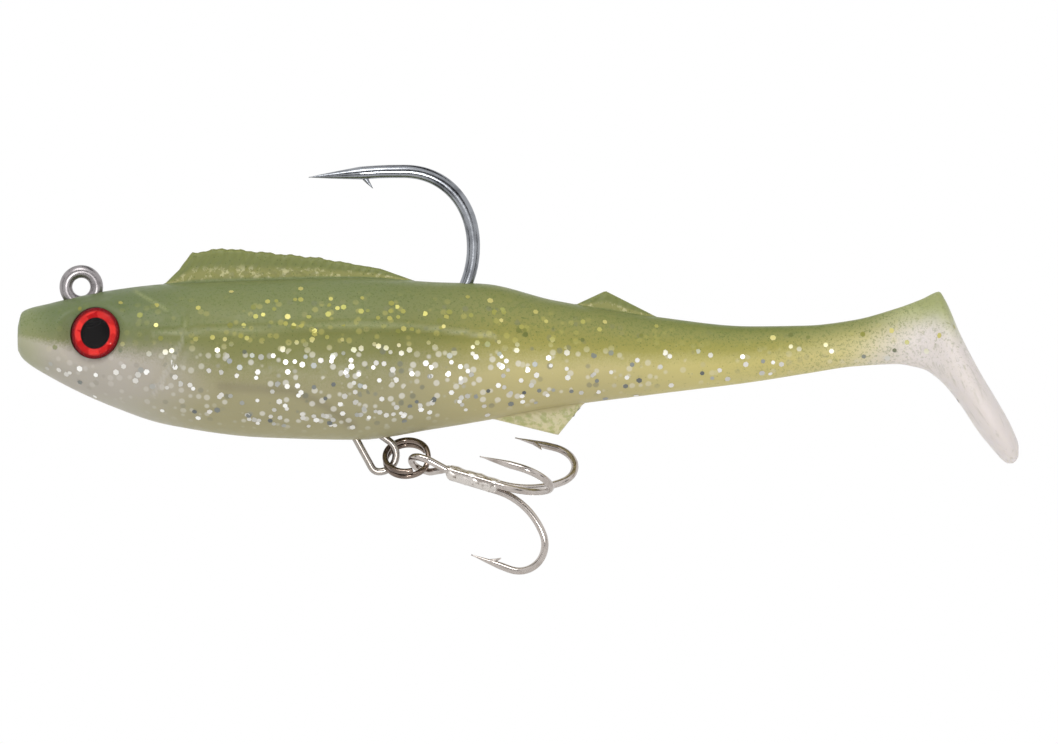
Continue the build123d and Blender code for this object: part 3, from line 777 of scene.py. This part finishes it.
on_anal_fin = (skin_tones["fin"] > 0.3) & (skin_tones["up"] < 0.3)
glitter = glitter_share(skin_points, skin_tones["up"]) * (skin_tones["fin"] < 0.05)
skin_tones["glitter"] = glitter + 0.12 * on_anal_fin
normals_mesh = bpy.data.meshes.new("whole_skin")
normals_mesh.from_pydata((skin_points * MM).tolist(), [], skin_faces)
normals_mesh.update()
left_flank = normals_mesh.vertices[int(rings * 0.4) * around + FIN_POINTS + FLANK_POINTS // 2]
if left_flank.normal.y > 0:
    normals_mesh.flip_normals()
    skin_faces = [face[::-1] for face in skin_faces]
skin_normals = np.array([v.normal[:] for v in normals_mesh.vertices])
bpy.data.meshes.remove(normals_mesh)


def skin_piece(name, first, last):
    """The skin between two rings, with the whole skin's own normals, so that no join shows between pieces.
    """
    keep = []
    for face in skin_faces:
        inner = [i // around for i in face if i // around < rings]
        if min(inner) >= first and max(inner) <= last:
            keep.append(face)
    used = sorted({i for face in keep for i in face})
    number = {old: new for new, old in enumerate(used)}
    mesh = bpy.data.meshes.new(name)
    mesh.from_pydata((skin_points[used] * MM).tolist(), [], [[number[i] for i in face] for face in keep])
    mesh.shade_smooth()
    for key, tone in skin_tones.items():
        stored = mesh.attributes.new(key, "FLOAT", "POINT")
        stored.data.foreach_set("value", tone[used].astype(np.float32))
    mesh.normals_split_custom_set_from_vertices(skin_normals[used].tolist())
    mesh.materials.append(skin.material)
    made = bpy.data.objects.new(name, mesh)
    bpy.context.scene.collection.objects.link(made)
    return made


# the skin is cut behind each of the first two joints, where it moves with one body alone
STEM_FROM, PADDLE_FROM = 83.5, 97.0
stem_ring, paddle_ring = (int(np.argmin(np.abs(upper_x - x))) for x in (STEM_FROM, PADDLE_FROM))
# each stretch of skin, its two bodies, where the bend between them starts and ends, and its nodes
skins = [
    (skin_piece("skin_trunk", 0, stem_ring), ("body", "tail_fore"), (70, 82), ("body_front", "tail_fore")),
    (skin_piece("skin_stem", stem_ring, paddle_ring), ("tail_fore", "tail_aft"), (85.5, 96), ("tail_aft",)),
    (skin_piece("skin_paddle", paddle_ring, rings), ("tail_aft", "paddle"), (98, 108), ("paddle_tail",)),
]


# ---- glitter -----------------------------------------------------------------------------------
# Hexagonal foil flakes cast into the plastic, those just under its surface lying at small tilts.
# Silver on the lower flank, gold through the green above; each flake's brightness is a random painted glint,
# and a few are dark where they face away.
flake = Paint("glitter_flake")
# the random tone of each flake is painted light: it sets how brightly the flake glints, from dark to bright
shade = flake.attribute("tone")
flake_silver = flake.ramp(shade, [
    (0.0, (96, 99, 98)), (0.14, (132, 135, 130)), (0.28, (186, 184, 176)), (0.7, (218, 215, 208)),
    (1.0, (246, 245, 241)),
])
flake_gold = flake.ramp(shade, [
    (0.0, (112, 118, 60)), (0.25, (148, 148, 72)), (0.8, (176, 170, 90)), (1.0, (214, 204, 128)),
])
golden = flake.step(flake.axis("Z"), -9.5, -6.2)
flake.set(
    Base_Color=flake.mix(golden, flake_silver, flake_gold),
    Metallic=0.4,
    Roughness=0.35,
)
FLAKE_RADIUS, FLAKES_PER_M2, FLAKE_TILT, FLAKE_LIFT = 0.38 * MM, 4.2e5, 0.1, 0.025 * MM
SMALLEST, LARGEST = 0.72, 1.1


def flake_tree():
    """Geometry nodes that scatter hexagonal flakes over a skin where its glitter value is high."""
    tree = bpy.data.node_groups.new("flakes", "GeometryNodeTree")
    face = tree.interface
    face.new_socket("Geometry", in_out="INPUT", socket_type="NodeSocketGeometry")
    for key, value in (
        ("Density", FLAKES_PER_M2), ("Radius", FLAKE_RADIUS), ("Tilt", FLAKE_TILT), ("Lift", FLAKE_LIFT),
    ):
        face.new_socket(key, in_out="INPUT", socket_type="NodeSocketFloat").default_value = value
    face.new_socket("Seed", in_out="INPUT", socket_type="NodeSocketInt").default_value = 3
    face.new_socket("Material", in_out="INPUT", socket_type="NodeSocketMaterial")
    face.new_socket("Geometry", in_out="OUTPUT", socket_type="NodeSocketGeometry")

    def node(kind, inputs=None, **settings):
        return add_node(tree, kind, inputs, **settings)

    def chance(seed, low=0.0, high=1.0):
        """A random value for each flake."""
        inputs = {"Seed": seed, 2: low, 3: high}
        return node("FunctionNodeRandomValue", inputs, data_type="FLOAT").outputs[1]

    given = node("NodeGroupInput").outputs
    glitter = node("GeometryNodeInputNamedAttribute", {"Name": "glitter"}, data_type="FLOAT")
    shares = {0: glitter.outputs["Attribute"], 1: given["Density"]}
    density = node("ShaderNodeMath", shares, operation="MULTIPLY")
    points = node(
        "GeometryNodeDistributePointsOnFaces",
        {"Mesh": given["Geometry"], "Density": density.outputs[0], "Seed": given["Seed"]},
    )
    hexagon = node("GeometryNodeMeshCircle", {"Vertices": 6, "Radius": given["Radius"]}, fill_type="NGON")
    low_tilt = node("ShaderNodeMath", {0: given["Tilt"], 1: -1.0}, operation="MULTIPLY").outputs[0]
    tilts = [chance(seed, low_tilt, given["Tilt"]) for seed in (11, 12)]
    turned = node("ShaderNodeCombineXYZ", {0: tilts[0], 1: tilts[1], 2: chance(13, 0, 2 * pi)})
    raised = node(
        "ShaderNodeVectorMath", {0: points.outputs["Normal"], "Scale": given["Lift"]}, operation="SCALE"
    )
    lifted = node(
        "GeometryNodeSetPosition", {"Geometry": points.outputs["Points"], "Offset": raised.outputs[0]}
    )
    placed = node("GeometryNodeInstanceOnPoints", {
        "Points": lifted.outputs[0], "Instance": hexagon.outputs["Mesh"],
        "Rotation": points.outputs["Rotation"], "Scale": chance(14, SMALLEST, LARGEST),
    })
    tilted = node(
        "GeometryNodeRotateInstances", {"Instances": placed.outputs[0], "Rotation": turned.outputs[0]}
    )
    # a random tone for each flake, which the flake paint turns into a painted glint
    toned = node(
        "GeometryNodeStoreNamedAttribute",
        {"Geometry": tilted.outputs[0], "Name": "tone", "Value": chance(15)},
        data_type="FLOAT", domain="INSTANCE",
    )
    real = node("GeometryNodeRealizeInstances", {0: toned.outputs[0]})
    painted = node("GeometryNodeSetMaterial", {"Geometry": real.outputs[0], "Material": given["Material"]})
    node("NodeGroupOutput", {0: painted.outputs[0]})
    return tree


flakes = flake_tree()
keys = {item.name: item.identifier for item in flakes.interface.items_tree if item.in_out == "INPUT"}
for number, (piece, pair, (start, end), nodes) in enumerate(skins):
    source = bpy.data.objects.new("flake_source", piece.data.copy())
    bpy.context.scene.collection.objects.link(source)
    scatter = source.modifiers.new("flakes", "NODES")
    scatter.node_group = flakes
    scatter[keys["Seed"]] = 3 + number
    scatter[keys["Material"]] = flake.material
    bpy.context.view_layer.update()
    evaluated = source.evaluated_get(bpy.context.evaluated_depsgraph_get())
    mesh = bpy.data.meshes.new_from_object(evaluated)
    bpy.data.objects.remove(source)
    glints = bpy.data.objects.new(piece.name.replace("skin", "glitter"), mesh)
    bpy.context.scene.collection.objects.link(glints)
    for made in (piece, glints):
        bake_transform(made)
    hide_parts(*nodes)


# ---- eyes --------------------------------------------------------------------------------------
# On each side a red faceted foil disc with a printed black pupil lies in the socket on a clear
# pad, under a clear epoxy dome. A darker red rim at the foil's edge is painted shade from the dome's edge.
foil = Paint("eye_foil")
radius_share = foil.attribute("radius")
facet_tone = foil.cells(750.0)[1][0]
red = foil.mix(facet_tone, rgb(186, 10, 18), rgb(250, 66, 60))
# painted shade: a darker red ring at the foil's edge, under the dome's edge
red_with_rim_shade = foil.mix(foil.step(radius_share, 0.8, 0.92), red, rgb(128, 16, 24))
pupil = foil.step(radius_share, 0.618, 0.6)
foil.set(
    Base_Color=foil.mix(pupil, red_with_rim_shade, rgb(6, 5, 6)),
    Metallic=foil.times(foil.math("SUBTRACT", 1.0, pupil), 0.35),
    Roughness=foil.plus(foil.times(facet_tone, 0.15), 0.25),
    Specular_IOR_Level=0.15,
)
dome = bpy.data.materials.new("eye_dome")
dome.use_nodes = True
epoxy = dome.node_tree
epoxy.nodes.remove(epoxy.nodes["Principled BSDF"])
clear = add_node(epoxy, "ShaderNodeBsdfTransparent", {"Color": (0.97, 0.95, 0.95, 1)})
gloss = add_node(epoxy, "ShaderNodeBsdfGlossy", {"Roughness": 0.02, "Color": (0.6, 0.6, 0.6, 1)})
fresnel = add_node(epoxy, "ShaderNodeFresnel", {"IOR": 1.2})
shell_inputs = {0: fresnel.outputs[0], 1: clear.outputs[0], 2: gloss.outputs[0]}
shell = add_node(epoxy, "ShaderNodeMixShader", shell_inputs)
put(epoxy, epoxy.nodes["Material Output"].inputs["Surface"], shell.outputs[0])


def lathe(centre, look, profile, size=72):
    """A round piece turned about look; profile holds radius and height pairs, both ends closed."""
    across = unit(np.cross(look, (0, 0, 1)))
    other = np.cross(look, across)
    turn = np.arange(size) * 2 * pi / size
    section = np.array([[(r * cos(t), r * sin(t)) for t in turn] for r, _ in profile])
    points = np.array([centre + look * height for _, height in profile])
    return sweep(points, np.tile(across, (len(points), 1)), np.tile(other, (len(points), 1)), section)


FOIL_RADIUS, FOIL_FACE, DOME_RISE = 3.26, -0.26, 0.95
foil_profile = [(FOIL_RADIUS - 0.02, -0.6), (FOIL_RADIUS, -0.3)]
foil_profile += [(FOIL_RADIUS * share, FOIL_FACE) for share in np.linspace(0.98, 0.03, 34)]
dome_profile = [(EYE_RADIUS - 0.03, -0.62), (EYE_RADIUS, -0.35), (EYE_RADIUS, 0.0)]
dome_profile += [(EYE_RADIUS * cos(t), DOME_RISE * sin(t)) for t in np.radians(np.arange(6, 90, 6))]
for side, flank in (("left", -1), ("right", 1)):
    centre, look = eye_place(flank)
    disc = make_piece(f"eye_disc_{side}", *lathe(centre, look, foil_profile), foil.material)
    corners = np.array([v.co[:] for v in disc.data.vertices]) / MM
    radial = from_eye(corners, centre, look)[1] / EYE_RADIUS
    stored = disc.data.attributes.new("radius", "FLOAT", "POINT")
    stored.data.foreach_set("value", radial.astype(np.float32))
    cover = make_piece(f"eye_cover_{side}", *lathe(centre, look, dome_profile), dome)
    for piece, node, finish in (
        (disc, f"eye_{side}_foil", "eye_foil"), (cover, f"eye_{side}_dome", "eye_dome"),
    ):
        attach(piece, "body")
        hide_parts(node)


# ---- hidden pieces -----------------------------------------------------------------------------
# The lead head and the pads under the eyes are shown as the CAD solids: nothing of them is seen.
lead = metal("lead", rgb(120, 120, 122), 0.5, rgb(84, 84, 86))
pad = Paint("adhesive_pad")
pad.set(Base_Color=pad.mix(pad.noise(2000.0), rgb(226, 226, 220), rgb(206, 206, 200)), Roughness=0.3)
for name, material in (
    ("lead_head", lead), ("eye_left_adhesive", pad.material), ("eye_right_adhesive", pad.material),
):
    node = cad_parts[name]
    node.data.materials.clear()
    node.data.materials.append(material)


# ---- floor, light and camera -------------------------------------------------------------------
# A pale floor under the lure and an evenly white studio, with a large soft light over the camera.
# The dark cards are hidden from the camera, and give the metal its dark lines.
scene = bpy.context.scene
scene.view_settings.view_transform = "Standard"
world = bpy.data.worlds.new("studio")
scene.world = world
world.use_nodes = True
world.node_tree.nodes["Background"].inputs["Color"].default_value = (1, 1, 1, 1)
world.node_tree.nodes["Background"].inputs["Strength"].default_value = 1.0


def plate(name, centre, look, width, height, material):
    """A flat stage rectangle facing along look."""
    look = unit(look)
    across = unit(np.cross(look, (0, 0.001, 1)))
    rise = np.cross(across, look)
    corners = [
        np.array(centre) + across * width * a / 2 + rise * height * b / 2
        for a, b in ((-1, -1), (1, -1), (1, 1), (-1, 1))
    ]
    made = make_piece(name, corners, [(0, 1, 2, 3)], material)
    return made


floor_paint = Paint("pale_floor")
floor_paint.set(
    Base_Color=floor_paint.mix(floor_paint.noise(40.0), (0.9, 0.9, 0.9, 1), (0.94, 0.94, 0.94, 1)),
    Roughness=0.7,
)
card_paint = Paint("black_card")
card_paint.set(Base_Color=(0.02, 0.02, 0.02, 1), Roughness=0.9)
plate("floor", (55, 100, -72), (0, 0, 1), 3000, 440, floor_paint.material)
CARDS_FACE = np.array([50, 0, -10])
for name, place, width, height in (
    ("card_low", (40, -330, -215), 430, 270), ("card_high", (40, -330, 120), 430, 130),
    ("card_top", (150, 60, 400), 430, 200), ("card_left", (-420, -220, 60), 130, 300),
    ("card_right", (520, -220, -60), 130, 300),
):
    card = plate(name, place, CARDS_FACE - place, width, height, card_paint.material)
    card.visible_camera = False


def soft_light(name, place, target, size, watts):
    lamp = bpy.data.lights.new(name, "AREA")
    lamp.energy, lamp.size = watts, size * MM
    made = bpy.data.objects.new(name, lamp)
    made.location = np.array(place) * MM
    aim = (np.array(target) - place).tolist()
    made.rotation_euler = Vector(aim).to_track_quat("-Z", "Y").to_euler()
    scene.collection.objects.link(made)


soft_light("key", (-60, -360, 420), (50, 0, -8), 200, 0.8)
soft_light("fill", (57, -500, -75), (57, 0, -12), 60, 0.75)

LENS, SENSOR, FRAME_WIDTH, CAMERA_X, CAMERA_Z = 300.0, 36.0, 134.23, 56.8, -10.8
camera = bpy.data.cameras.new("camera")
camera.lens, camera.sensor_width = LENS, SENSOR
camera.clip_start, camera.clip_end = 0.05, 20.0
camera_object = bpy.data.objects.new("camera", camera)
camera_object.location = (CAMERA_X * MM, -FRAME_WIDTH * MM * LENS / SENSOR, CAMERA_Z * MM)
camera_object.rotation_euler = (pi / 2, 0, 0)
scene.collection.objects.link(camera_object)
scene.camera = camera_object
